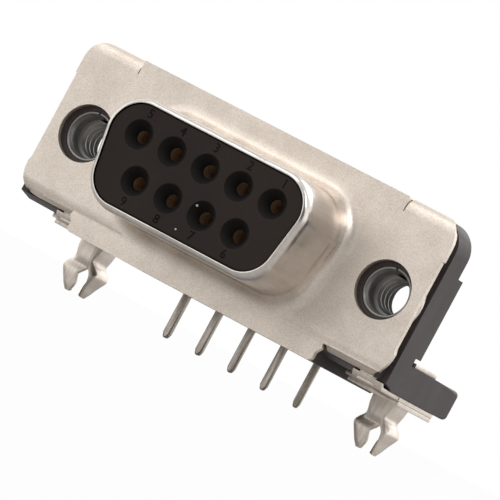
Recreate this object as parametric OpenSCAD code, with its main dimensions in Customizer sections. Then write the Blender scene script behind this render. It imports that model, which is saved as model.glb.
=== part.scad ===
// Nine-way right-angle D-subminiature socket connector for a printed circuit board.
// Millimetres. X runs along the rows, -Y points to the mating plug and +Z away from the board.
// The origin is on the mating axis, at the front face of the shell's flange.

/* [Mating face] */
// Pitch of the contacts along a row
contact_pitch = 2.77; // [2.74:0.01:2.80]
// Distance between the upper and the lower row
row_gap = 2.84; // [2.80:0.01:2.90]
// Distance between the two screw inserts
screw_spacing = 24.99; // [24.90:0.01:25.10]
// Outside width of the shroud at its wider top
shroud_w = 16.33; // [16.20:0.01:16.50]
// Outside height of the shroud
shroud_h = 7.90; // [7.80:0.05:8.00]
// Outside radius of the shroud's corners
shroud_r = 2.59; // [2.40:0.01:2.75]
// Lean of the shroud's sides from upright, in degrees
shroud_lean = 10; // [8:1:12]
// How far the shroud stands in front of the flange
shroud_depth = 6.17; // [5.80:0.01:6.30]
// Outside radius of the drawn bend at the shroud's root
draw_r = 1.15; // [0.80:0.05:1.20]

/* [Shell flange] */
// Thickness of the shell's sheet
sheet = 0.40; // [0.30:0.05:0.45]
// Width of the flange
flange_w = 30.80; // [30.60:0.05:31.00]
// Height of the flange between its top and bottom edges
flange_h = 12.40; // [12.20:0.10:12.50]
// Radius of the flange's outer corners
flange_r = 1.50; // [1.20:0.10:1.60]
// Radius of the screw clearance holes
screw_hole_r = 2.025; // [2.00:0.005:2.05]
// Outside radius of the bend where a corner lip folds back
lip_r = 0.95; // [0.80:0.05:1.00]
// Inner end of the upper corner lips, from the middle
top_lip_x = 11.15; // [11.00:0.05:11.30]
// Inner end of the lower corner lips, from the middle
bottom_lip_x = 10.70; // [10.70:0.05:11.00]
// Outer end of all corner lips, from the middle
lip_end_x = 14.50; // [14.20:0.05:14.50]

/* [Housing] */
// Depth of the housing's flange behind the shell
housing_flange = 2.90; // [2.60:0.05:3.00]
// Rear face of the bosses round the inserts
boss_rear = 4.10; // [4.00:0.05:4.20]
// Height of the feet's upper face
foot_top = -3.50; // [-3.60:0.05:-3.40]
// Height of the feet's lower face
foot_bottom = -5.60; // [-5.65:0.01:-5.60]
// Height of the seating plane on the board
board_z = -6.30; // [-6.32:0.01:-6.28]
// Rear end of the feet
foot_rear = 12.20; // [12.00:0.05:12.40]
// Half the width of the middle body between the feet
body_half_w = 9.70; // [9.60:0.05:9.70]

/* [Contacts] */
// Inside radius of a socket
socket_r = 0.52; // [0.51:0.005:0.54]
// Outside radius of a socket
barrel_r = 0.80; // [0.75:0.01:0.82]
// Distance of the lower row's tails behind the flange
near_tail_y = 8.08; // [8.00:0.01:8.15]
// Lower end of the tails
tail_z = -9.55; // [-9.70:0.05:-9.40]
// Width of a tail
tail_w = 0.55; // [0.50:0.01:0.60]
// Thickness of a tail
tail_t = 0.30; // [0.25:0.01:0.35]

/* [Inserts] */
// Outside radius of a threaded insert
insert_r = 1.75; // [1.70:0.01:1.78]
// Radius of the thread's core
thread_core_r = 1.13; // [1.10:0.01:1.18]
// Distance of the insert's front rim behind the flange's front face
insert_front = 0.70; // [0.60:0.05:0.80]

/* [Board locks] */
// Thickness of the lock's and the strap's sheet
lock_t = 0.30; // [0.28:0.01:0.30]
// Distance of the lock's centre behind the flange
lock_y = 9.50; // [9.45:0.05:9.55]
// Lower end of the lock's legs
lock_tip_z = -10.00; // [-10.10:0.05:-9.90]

/* [Hidden] */
$fn = 64;

eps = 0.01;                 // overrun that keeps cuts clear of coincident faces
screw_x = screw_spacing / 2;
top_z = flange_h / 2;
lip_z = 5.25;               // depth of the lower lips below the middle
upper_row = 5;              // contacts in the upper row
contact_count = 9;

// ---- Placing outlines -------------------------------------------------------------------

// Extrudes an outline drawn in X and Z, from y_front towards the rear.
module facing(y_front, depth) {
    translate([0, y_front + depth, 0])
        rotate([90, 0, 0])
            linear_extrude(depth)
                children();
}

// Extrudes an outline drawn in Y and Z, from x_from towards +X.
module sideways(x_from, width) {
    translate([x_from, 0, 0])
        rotate([90, 0, 90])
            linear_extrude(width)
                children();
}

// Turns a solid of revolution about Z so that its axis points along +Y.
module along_y(x = 0, z = 0) {
    translate([x, 0, z])
        rotate([-90, 0, 0])
            children();
}

module both_sides() {
    children();
    mirror([1, 0, 0])
        children();
}

// A sheet of thickness t seen edge on, bent along a list of points with round bends.
module strip(points, t) {
    for (i = [0 : len(points) - 2]) {
        run = points[i + 1] - points[i];
        translate(points[i])
            rotate(atan2(run[1], run[0]))
                translate([0, -t / 2])
                    square([norm(run), t]);
    }
    for (i = [1 : len(points) - 2])
        translate(points[i])
            circle(d = t, $fn = 24);
}

// ---- The D outline ----------------------------------------------------------------------

corner_z = shroud_h / 2 - shroud_r;
top_corner_x = shroud_w / 2 - shroud_r;
bottom_corner_x = top_corner_x - 2 * corner_z * tan(shroud_lean);
// Corner centres, anticlockwise from the lower right, and the directions the sides face.
corners = [
    [bottom_corner_x, -corner_z], [top_corner_x, corner_z],
    [-top_corner_x, corner_z], [-bottom_corner_x, -corner_z]
];
side_faces = [-90, -shroud_lean, 90, 180 + shroud_lean, 270];
side_inset = 0.002;         // the flats are let in by this, so they meet the arcs at a clear edge

// The D with corners of radius r.
module d_outline(r) {
    polygon([
        for (i = [0 : 3], a = [side_faces[i], side_faces[i + 1]])
            corners[i] + (r - side_inset) * [cos(a), sin(a)]
    ]);
    for (c = corners)
        translate(c)
            circle(r);
}

// Sweeps a profile round the D. Its x is the distance from a corner centre, its y is forwards.
module round_the_d() {
    rotate([90, 0, 0])
        for (i = [0 : 3]) {
            next = corners[(i + 1) % 4];
            translate([corners[i][0], corners[i][1], 0])
                rotate_extrude()
                    children();
            translate([next[0], next[1], 0])
                rotate([0, 0, side_faces[i + 1]])
                    rotate([90, 0, 0])
                        linear_extrude(norm(next - corners[i]))
                            translate([-side_inset, 0])
                                children();
        }
}

// ---- Shell ------------------------------------------------------------------------------

inner_r = shroud_r - sheet;
waist_in = 0.10;            // how far the flange's sides are let in at half height
waist_top = 3.35;
waist_bottom = -3.90;
middle_x = 10.30;           // the flange's deeper middle ends here
middle_r = 0.30;            // radius of the middle's lower corners
shoulder_rise = 0.50;       // the slant beside the middle starts this far up its side
shoulder_gap = 0.06;        // the slant stays above the lower lips' edge by this
corner_drop = 0.05;         // the upper corners stand below the top edge by this
lip_slit = 0.06;            // slit at both ends of a lip
relief_r = 0.22;            // round relief at the inner end of a lower lip
relief_side = 0.10;
relief_up = 0.12;
nick_r = 0.08;              // small shear nicks in the flange's sides
nick_heights = [1.19, -1.60];
lip_reach = 1.05;           // rear end of the lips
overlap = 0.50;             // how far one flat part runs into the next

// What a bend of radius r adds outside a wall at wall_x, from the face at height base.
module bend_section(wall_x, base, r) {
    root = sheet / 2;
    difference() {
        translate([wall_x - root, base])
            square([r + root, r]);
        translate([wall_x + r, base + r])
            circle(r);
    }
}

// Right half of the flange, flat parts only, with room for the lips and the shear nicks.
module flange_half() {
    waist_x = flange_w / 2 - waist_in;
    corner_x = flange_w / 2 - flange_r;
    corner_top = top_z - corner_drop - flange_r;
    corner_bottom = -lip_z + flange_r;
    flat_top = top_z - lip_r;
    flat_bottom = -lip_z + lip_r;
    relief_x = bottom_lip_x - relief_side;
    difference() {
        union() {
            // Deep middle with rounded lower corners, and the slant beside it
            translate([0, -top_z])
                square([middle_x - middle_r, 2 * top_z]);
            translate([0, -top_z + middle_r])
                square([middle_x, 2 * top_z - middle_r]);
            translate([middle_x - middle_r, -top_z + middle_r])
                circle(middle_r, $fn = 32);
            polygon([
                [middle_x, -top_z + shoulder_rise], [relief_x, -lip_z + shoulder_gap],
                [relief_x, flat_bottom], [middle_x - overlap, flat_bottom],
                [middle_x - overlap, -top_z + shoulder_rise]
            ]);
            // Wing round the screw hole
            translate([middle_x - overlap, flat_bottom])
                square([waist_x - middle_x + overlap, flat_top - flat_bottom]);
            translate([middle_x - overlap, flat_bottom])
                square([top_lip_x - lip_slit - middle_x + overlap, top_z - flat_bottom]);
            for (z = [corner_top, corner_bottom])
                translate([corner_x, z])
                    circle(flange_r);
            translate([waist_x - overlap, waist_top])
                square([waist_in + overlap, corner_top - waist_top]);
            translate([waist_x - overlap, corner_bottom - eps])
                square([waist_in + overlap, waist_bottom - corner_bottom + eps]);
        }
        // Clearance above and below the lips' bends, with the slits at their ends
        translate([top_lip_x - lip_slit, flat_top])
            square([lip_end_x - top_lip_x + 2 * lip_slit, 2 * lip_r]);
        translate([bottom_lip_x - lip_slit, flat_bottom - 2 * lip_r])
            square([lip_end_x - bottom_lip_x + 2 * lip_slit, 2 * lip_r]);
        translate([relief_x, -lip_z + relief_up])
            circle(relief_r, $fn = 32);
        for (z = nick_heights)
            translate([waist_x, z])
                circle(nick_r, $fn = 24);
    }
}

// A corner lip edge on: it leaves the flange at z and folds back over the housing.
module lip_section(z, up) {
    translate([lip_r, z])
        intersection() {
            translate([-lip_r, up ? 0 : -lip_r])
                square(lip_r);
            difference() {
                circle(lip_r);
                circle(lip_r - sheet);
            }
        }
    translate([lip_r, up ? z + lip_r - sheet : z - lip_r])
        square([lip_reach - lip_r, sheet]);
}

module shell() {
    color([0.80, 0.77, 0.70])
        difference() {
            union() {
                facing(-shroud_depth, shroud_depth + sheet / 2)
                    d_outline(shroud_r);
                round_the_d()
                    bend_section(shroud_r, 0, draw_r);
                facing(0, sheet) {
                    flange_half();
                    mirror([1, 0])
                        flange_half();
                }
                both_sides() {
                    sideways(top_lip_x, lip_end_x - top_lip_x)
                        lip_section(top_z - lip_r, true);
                    sideways(bottom_lip_x, lip_end_x - bottom_lip_x)
                        lip_section(-lip_z + lip_r, false);
                }
            }
            facing(-shroud_depth - 1, shroud_depth + sheet + 2)
                d_outline(inner_r);
            round_the_d()
                bend_section(inner_r, -sheet, draw_r + sheet);
            for (x = [-screw_x, screw_x])
                along_y(x)
                    translate([0, 0, -1])
                        cylinder(h = sheet + 2, r = screw_hole_r);
        }
}

// ---- Contact places ---------------------------------------------------------------------

// Contact 1 is at the right of the upper row, seen from the front, and 6 at the right below.
function contact_x(n) = contact_pitch * (n <= upper_row ? 3 - n : 7.5 - n);
function contact_z(n) = (n <= upper_row ? 1 : -1) * row_gap / 2;
function contact_tail_y(n) = near_tail_y + (n <= upper_row ? row_gap : 0);

// ---- Front insulator --------------------------------------------------------------------

nose_front = -6.10;
nose_gap = 0.05;            // room between the nose and the shroud's inside
cavity_r = 0.85;            // seats a contact's collar
cavity_front = -5.30;
entry_r = 0.60;
entry_mouth_r = 0.95;
entry_mouth_depth = 0.45;
seat_depth = 1.60;          // thickness of the insulator's plate
seat_half_w = 9.00;
seat_half_h = 4.80;
seat_r = 1.00;

module seat_outline(grow) {
    w = seat_half_w + grow;
    h = seat_half_h + grow;
    square([2 * w, 2 * (h - seat_r)], center = true);
    square([2 * (w - seat_r), 2 * h], center = true);
    for (x = [-1, 1], z = [-1, 1])
        translate([x * (w - seat_r), z * (h - seat_r)])
            circle(seat_r);
}

module front_insulator() {
    color([0.13, 0.11, 0.11])
        difference() {
            union() {
                facing(nose_front, sheet - nose_front + 1)
                    d_outline(inner_r - nose_gap);
                facing(sheet, seat_depth)
                    seat_outline(0);
            }
            for (n = [1 : contact_count])
                along_y(contact_x(n), contact_z(n)) {
                    translate([0, 0, nose_front - eps])
                        cylinder(h = entry_mouth_depth + eps, r1 = entry_mouth_r, r2 = entry_r);
                    translate([0, 0, nose_front])
                        cylinder(h = cavity_front - nose_front + eps, r = entry_r);
                    translate([0, 0, cavity_front])
                        cylinder(h = sheet + seat_depth - cavity_front + 1, r = cavity_r);
                }
        }
}

// ---- Housing ----------------------------------------------------------------------------

housing_top = 6.10;
housing_top_r = 1.90;
rebate_rear = 1.05;         // the flange's edge stands back behind the shell to here
rebate_side = 0.50;         // and is let in by this at the sides
rebate_top = 5.80;          // the upper lips lie on the rebate at this height
rebate_bottom = -5.30;
boss_half_h = 2.93;
boss_inner_x = 9.90;
block_half_w = 8.60;        // block behind the flange that carries the contacts
block_top = 4.20;
block_rear = 5.60;
organizer_front = 6.80;
organizer_top = -4.40;
foot_corner_r = 0.50;       // rear outer corner of a foot
foot_slope_rear = 2.60;     // rear end of the slope under a foot's front edge

// Front outline of the housing's flange, with rounded upper corners.
module flange_outline(half_w, bottom, top, r) {
    translate([-half_w, bottom])
        square([2 * half_w, top - r - bottom]);
    translate([-half_w + r, bottom])
        square([2 * (half_w - r), top - bottom]);
    for (x = [-half_w + r, half_w - r])
        translate([x, top - r])
            circle(r);
}

// A foot seen from above, with its rear outer corner rounded.
module foot_plan() {
    right = flange_w / 2;
    translate([body_half_w, rebate_rear])
        square([right - body_half_w, foot_rear - foot_corner_r - rebate_rear]);
    translate([body_half_w, rebate_rear])
        square([right - body_half_w - foot_corner_r, foot_rear - rebate_rear]);
    translate([right - foot_corner_r, foot_rear - foot_corner_r])
        circle(foot_corner_r, $fn = 32);
}

module housing_body() {
    right = flange_w / 2;
    rebate_r = housing_top_r - rebate_side;
    facing(sheet, housing_flange)
        flange_outline(right - rebate_side, rebate_bottom, rebate_top, rebate_r);
    facing(rebate_rear, sheet + housing_flange - rebate_rear)
        flange_outline(right, foot_bottom, housing_top, housing_top_r);
    // Bosses that hold the inserts, the contact block and the floor below it
    both_sides() {
        translate([boss_inner_x, rebate_rear, -boss_half_h])
            cube([right - boss_inner_x, boss_rear - rebate_rear, 2 * boss_half_h]);
        translate([0, 0, foot_bottom])
            linear_extrude(foot_top - foot_bottom)
                foot_plan();
    }
    translate([-block_half_w, sheet, foot_bottom])
        cube([2 * block_half_w, block_rear - sheet, block_top - foot_bottom]);
    translate([-body_half_w, sheet, board_z])
        cube([2 * body_half_w, organizer_front - sheet, foot_top - board_z]);
}

// What the slope under the feet's front edge takes away, at one side.
module foot_slope() {
    sideways(body_half_w, flange_w)
        polygon([
            [rebate_rear - 1, rebate_bottom], [rebate_rear, rebate_bottom],
            [foot_slope_rear, foot_bottom], [foot_slope_rear, foot_bottom - 1],
            [rebate_rear - 1, foot_bottom - 1]
        ]);
}

// Room for a corner lip, its bend and the end of the sheet.
module lip_room(x_from, z, up) {
    slack = 0.05;
    flip = up ? 1 : -1;
    sideways(x_from - slack, lip_end_x - x_from + 2 * slack)
        difference() {
            translate([-1, up ? z : z - 2])
                square([lip_reach + slack + 1, 2]);
            translate([lip_r, z])
                circle(lip_r - sheet - slack);
            translate([lip_r, z - (up ? 0 : lip_r - sheet - slack)])
                square([1, lip_r - sheet - slack]);
        }
}

module housing() {
    color([0.14, 0.12, 0.12])
        difference() {
            housing_body();
            facing(sheet - 1, seat_depth + 1)
                seat_outline(0);
            for (n = [1 : contact_count])
                along_y(contact_x(n), contact_z(n))
                    cylinder(h = block_rear + 1, r = cavity_r);
            for (x = [-screw_x, screw_x]) {
                along_y(x)
                    cylinder(h = boss_rear + 1, r = insert_r);
                strap_room(x);
                lock_room(x);
            }
            both_sides() {
                lip_room(top_lip_x, top_z - lip_r, true);
                lip_room(bottom_lip_x, -lip_z + lip_r, false);
                foot_slope();
            }
        }
}

// ---- Tail organizer ---------------------------------------------------------------------

organizer_rear = 12.00;
organizer_chamfer = 0.30;
tail_slack = 0.05;          // room round a tail in its slot
slot_mouth = 0.25;          // flare at a slot's upper mouth

module tail_slot(n) {
    w = tail_w + 2 * tail_slack;
    t = tail_t + 2 * tail_slack;
    translate([contact_x(n), contact_tail_y(n), board_z - 1])
        translate([-w / 2, -t / 2, 0])
            cube([w, t, organizer_top - board_z + 2]);
    // Lead-in that guides the tail from above
    translate([contact_x(n), contact_tail_y(n), organizer_top])
        rotate([45, 0, 0])
            translate([-w / 2, -slot_mouth, -slot_mouth])
                cube([w, 2 * slot_mouth, 2 * slot_mouth]);
}

module tail_organizer() {
    color([0.15, 0.13, 0.13])
        difference() {
            sideways(-body_half_w, 2 * body_half_w)
                polygon([
                    [organizer_front, board_z], [organizer_rear - organizer_chamfer, board_z],
                    [organizer_rear, board_z + organizer_chamfer],
                    [organizer_rear, organizer_top - organizer_chamfer],
                    [organizer_rear - organizer_chamfer, organizer_top],
                    [organizer_front, organizer_top]
                ]);
            for (n = [1 : contact_count])
                tail_slot(n);
        }
}

// ---- Threaded inserts -------------------------------------------------------------------

insert_rear = 4.40;
collar_r = 2.10;
counterbore_r = 1.55;
thread_front = 1.90;
lead_in = 0.30;             // depth of the cone in front of the thread
slit_w = 0.25;              // seam of the rolled sleeve, at the top of its rim
slit_depth = 0.80;

module insert(x) {
    color([0.45, 0.44, 0.42])
        difference() {
            along_y(x) {
                translate([0, 0, insert_front])
                    cylinder(h = insert_rear - insert_front, r = insert_r);
                translate([0, 0, boss_rear])
                    cylinder(h = insert_rear - boss_rear, r = collar_r);
            }
            along_y(x) {
                translate([0, 0, insert_front - 1])
                    cylinder(h = thread_front - lead_in - insert_front + 1, r = counterbore_r);
                translate([0, 0, thread_front - lead_in])
                    cylinder(h = lead_in, r1 = counterbore_r, r2 = thread_core_r);
                cylinder(h = insert_rear + 1, r = thread_core_r);
            }
            translate([x - slit_w / 2, insert_front - 1, 0])
                cube([slit_w, slit_depth + 1, insert_r + 1]);
        }
}

// ---- Ground straps ----------------------------------------------------------------------

ring_r = 2.85;
ring_hole_r = 2.15;
strap_from = 0.75;          // the strap's leg, to the right of the insert's axis
strap_to = 2.10;
strap_back = 1.30;          // middle of the leg's sheet below the joggle
strap_plate_z = foot_bottom - 0.01 - lock_t / 2;
plate_from = -1.60;         // the plate under the foot, either side of the insert's axis
plate_to = 2.70;
plate_front = 4.20;
plate_rear = 10.20;

// Middle line of the strap's sheet, from the ring down, past the lip and back under the foot.
strap_path = [
    [sheet + lock_t / 2, -1.50], [sheet + lock_t / 2, -2.95], [strap_back, -3.90],
    [strap_back, strap_plate_z], [plate_front + 0.50, strap_plate_z]
];

module ground_strap(x) {
    color([0.82, 0.80, 0.76])
        union() {
            facing(sheet, lock_t)
                difference() {
                    translate([x, 0])
                        circle(ring_r);
                    translate([x, 0])
                        circle(ring_hole_r);
                }
            difference() {
                sideways(x + strap_from, strap_to - strap_from)
                    strip(strap_path, lock_t);
                along_y(x)
                    cylinder(h = 2, r = (ring_r + ring_hole_r) / 2);
            }
            translate([x, 0, strap_plate_z - lock_t / 2])
                linear_extrude(lock_t)
                    difference() {
                        translate([plate_from, plate_front])
                            square([plate_to - plate_from, plate_rear - plate_front]);
                        lock_web_plan(0.05);
                    }
        }
}

// Pocket in the housing's front for the ring and the leg.
module strap_room(x) {
    slack = 0.05;
    bend_room = 0.15;
    rear = strap_back + lock_t / 2 + slack;
    facing(sheet - 1, lock_t + 1)
        translate([x, 0])
            circle(ring_r + slack);
    sideways(x + strap_from - slack, strap_to - strap_from + 2 * slack)
        polygon([
            [0, strap_path[0][1]], [sheet + lock_t, strap_path[0][1]],
            [sheet + lock_t, strap_path[1][1] + bend_room],
            [rear, strap_path[2][1] + bend_room],
            [rear, foot_bottom - 1], [0, foot_bottom - 1]
        ]);
}

// ---- Board locks ------------------------------------------------------------------------

lock_base_z = strap_plate_z - lock_t;
lock_base_front = 4.50;
lock_base_from = -1.40;
lock_web_x = -1.10;         // web that passes up through the foot, from the insert's axis
lock_web_front = 5.00;
lock_web_rear = 7.80;
lock_tab_front = 4.30;
lock_tab_rear = 8.40;
lock_tab_to = 1.70;
leg_half_x = 1.00;
leg_half_y = 1.15;
leg_bulge_z = -8.55;
leg_bulge_x = 1.30;
leg_shoulder_z = -8.05;
leg_wall_to = 0.60;         // inner edge of a leg's front wall
leg_bow = 0.80;             // the wing starts to bow out this far above the shoulder
leg_tip_x = 0.45;
leg_tip_y = 0.75;
tab_corner_r = 0.60;        // rear corners of the clenched tab

// The web's section, seen from above, relative to the insert's axis.
module lock_web_plan(slack) {
    translate([lock_web_x - slack, lock_web_front - slack])
        square([lock_t + 2 * slack, lock_web_rear - lock_web_front + 2 * slack]);
}

// The clenched tab seen from above, from its front left corner, with rounded rear corners.
module lock_tab_plan(w, depth) {
    r = tab_corner_r;
    square([w, depth - r]);
    translate([r, 0])
        square([w - 2 * r, depth]);
    for (x = [r, w - r])
        translate([x, depth - r])
            circle(r, $fn = 32);
}

// One sprung leg: a front wall with a wing at its left that bows outwards and ends in a point.
module lock_leg() {
    top = lock_base_z;
    wing_x = -leg_half_x + lock_t / 2;
    // Wall across the front, down to the shoulder
    translate([-leg_half_x, -leg_half_y, leg_shoulder_z])
        cube([leg_half_x + leg_wall_to, lock_t, top - leg_shoulder_z]);
    intersection() {
        translate([0, leg_half_y, 0])
            rotate([90, 0, 0])
                linear_extrude(2 * leg_half_y)
                    strip([
                        [wing_x, top], [wing_x, leg_shoulder_z + leg_bow],
                        [-leg_bulge_x, leg_bulge_z], [-leg_tip_x, lock_tip_z],
                        [-leg_tip_x + 0.05, lock_tip_z - 0.10]
                    ], lock_t);
        // The wing seen from its side, narrowing to the tip
        sideways(-2, 3)
            polygon([
                [-leg_half_y, top + 1], [0.10, top + 1], [0.10, leg_bulge_z],
                [leg_tip_y - leg_half_y + 0.05, lock_tip_z], [-leg_tip_y, lock_tip_z],
                [-leg_half_y, leg_bulge_z]
            ]);
    }
}

module board_lock(x) {
    color([0.78, 0.77, 0.74])
        translate([x, 0, 0])
            union() {
                // Base under the foot, with the opening that the legs are folded from
                translate([0, 0, lock_base_z - lock_t / 2])
                    linear_extrude(lock_t)
                        difference() {
                            union() {
                                translate([lock_base_from, lock_base_front])
                                    square([plate_to - lock_base_from, plate_rear - lock_base_front]);
                                translate([-leg_half_x, plate_rear - 1])
                                    square([2 * leg_half_x, lock_y + leg_half_y - plate_rear + 1]);
                            }
                            translate([-leg_half_x + lock_t, lock_y - leg_half_y + lock_t])
                                square([2 * (leg_half_x - lock_t), 2 * (leg_half_y - lock_t)]);
                        }
                // Web up through the foot, and the tab that clenches it from above
                translate([0, 0, lock_base_z])
                    linear_extrude(foot_top + lock_t - lock_base_z)
                        lock_web_plan(0);
                translate([lock_web_x, lock_tab_front, foot_top])
                    linear_extrude(lock_t)
                        lock_tab_plan(lock_tab_to - lock_web_x, lock_tab_rear - lock_tab_front);
                translate([0, lock_y, 0])
                    for (turn = [0, 180])
                        rotate([0, 0, turn])
                            lock_leg();
            }
}

// Slot through the foot for the web.
module lock_room(x) {
    translate([x, 0, foot_bottom - 1])
        linear_extrude(foot_top - foot_bottom + 2)
            lock_web_plan(0);
}

// ---- Contacts ---------------------------------------------------------------------------

barrel_rear = -0.50;
bore_rear = -0.90;
tine_slot_w = 0.18;
tine_slot_rear = -1.90;
shank_r = 0.50;
collar_front = 2.40;
collar_rear = 4.40;
bend_r = 0.80;
tip_taper = 0.80;

module tail_section(n) {
    y = contact_tail_y(n);
    z = contact_z(n);
    translate([collar_rear - 0.20, z - tail_t / 2])
        square([y - bend_r - collar_rear + 0.20, tail_t]);
    translate([y - bend_r, z - bend_r])
        intersection() {
            square(2 * bend_r);
            difference() {
                circle(bend_r + tail_t / 2);
                circle(bend_r - tail_t / 2);
            }
        }
    translate([y - tail_t / 2, tail_z])
        square([tail_t, z - bend_r - tail_z]);
}

module contact(n) {
    color([0.86, 0.66, 0.36])
        union() {
            difference() {
                along_y(contact_x(n), contact_z(n)) {
                    translate([0, 0, cavity_front])
                        cylinder(h = barrel_rear - cavity_front, r = barrel_r);
                    translate([0, 0, barrel_rear])
                        cylinder(h = collar_rear - barrel_rear, r = shank_r);
                    translate([0, 0, collar_front])
                        cylinder(h = collar_rear - collar_front, r = cavity_r);
                }
                along_y(contact_x(n), contact_z(n))
                    translate([0, 0, cavity_front - 1])
                        cylinder(h = bore_rear - cavity_front + 1, r = socket_r);
                translate([contact_x(n) - tine_slot_w / 2, cavity_front - 1, contact_z(n) - 1])
                    cube([tine_slot_w, tine_slot_rear - cavity_front + 1, 2]);
            }
            intersection() {
                sideways(contact_x(n) - tail_w / 2, tail_w)
                    tail_section(n);
                // Chamfers at the tail's tip
                facing(0, 20)
                    translate([contact_x(n), 0])
                        polygon([
                            [-tail_w, 10], [-tail_w, tail_z + tip_taper + tail_w / 2],
                            [-tail_w / 4, tail_z], [tail_w / 4, tail_z],
                            [tail_w, tail_z + tip_taper + tail_w / 2], [tail_w, 10]
                        ]);
            }
        }
}

shell();
front_insulator();
housing();
tail_organizer();
insert(-screw_x);  // insert_left
insert(screw_x);  // insert_right
ground_strap(-screw_x);  // ground_strap_left
ground_strap(screw_x);  // ground_strap_right
board_lock(-screw_x);  // board_lock_left
board_lock(screw_x);  // board_lock_right
contact(1);  // contact_1
contact(2);  // contact_2
contact(3);  // contact_3
contact(4);  // contact_4
contact(5);  // contact_5
contact(6);  // contact_6
contact(7);  // contact_7
contact(8);  // contact_8
contact(9);  // contact_9
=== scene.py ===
"""Looks of a right-angle, nine-way D-subminiature socket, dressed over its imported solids.

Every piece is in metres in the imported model's frame: +X along the contact rows, -Y towards the
mating plug and +Z away from the board. Sizes in the classes of pieces are millimetres and angles
are degrees. Sizes in the finishes are metres, because that is what the shader nodes take.
"""

import logging
import math
from collections.abc import Iterable, Sequence
from dataclasses import dataclass
from enum import Enum
from typing import NamedTuple

import bmesh
import bpy
from bmesh.types import BMEdge, BMesh, BMFace, BMVert
from bpy.types import Material, Mesh, Node, NodeSocket, NodeTree, Object, World
from mathutils import Matrix, Vector


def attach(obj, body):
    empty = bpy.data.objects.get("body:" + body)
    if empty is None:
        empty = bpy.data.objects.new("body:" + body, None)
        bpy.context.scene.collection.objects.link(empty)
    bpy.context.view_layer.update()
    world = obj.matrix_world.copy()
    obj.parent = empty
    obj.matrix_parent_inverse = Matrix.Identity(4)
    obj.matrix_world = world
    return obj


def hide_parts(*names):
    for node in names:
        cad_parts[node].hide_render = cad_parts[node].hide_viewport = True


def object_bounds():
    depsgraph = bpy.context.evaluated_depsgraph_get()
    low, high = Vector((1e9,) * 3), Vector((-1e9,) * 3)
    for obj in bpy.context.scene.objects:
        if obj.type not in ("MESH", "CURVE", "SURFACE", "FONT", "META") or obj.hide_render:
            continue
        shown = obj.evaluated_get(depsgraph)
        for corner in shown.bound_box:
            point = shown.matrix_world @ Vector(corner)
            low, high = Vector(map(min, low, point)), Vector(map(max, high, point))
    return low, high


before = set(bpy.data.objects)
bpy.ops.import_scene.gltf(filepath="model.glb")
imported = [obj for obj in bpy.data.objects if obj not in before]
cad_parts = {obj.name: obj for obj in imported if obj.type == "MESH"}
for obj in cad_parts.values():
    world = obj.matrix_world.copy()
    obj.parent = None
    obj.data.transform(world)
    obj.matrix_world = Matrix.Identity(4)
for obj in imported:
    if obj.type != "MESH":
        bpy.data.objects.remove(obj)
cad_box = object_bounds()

log = logging.getLogger("d_sub_socket")

MM = 0.001
NEAR = 1e-5
SCREW_X = 12.495
FACE_Y = -6.10
CRISP_FROM = 32.0
SQUARE_FROM = 57.3
FLOAT, VECTOR = "NodeSocketFloat", "NodeSocketVector"

Point = tuple[float, float]
Triple = tuple[float, float, float]
Colour = tuple[float, float, float]
Sockets = Sequence[NodeSocket]
WHITE: Colour = (1.0, 1.0, 1.0)


class Slot(Enum):
    """The record's material slots."""

    SHELL = "tinned_shell"
    PLASTIC = "black_plastic"
    INSERT = "insert_steel"
    STRIP = "tinned_strip"
    CONTACT = "contact_alloy"


class Side(Enum):
    """The two ends of the connector, with the sign of their X."""

    LEFT = -1
    RIGHT = 1

    @property
    def word(self) -> str:
        """The end's word in the names of pieces."""
        return self.name.lower()

    @property
    def screw_x(self) -> float:
        """X of the end's screw axis."""
        return self.value * SCREW_X


# ---- Shader building ----------------------------------------------------------------------


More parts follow.
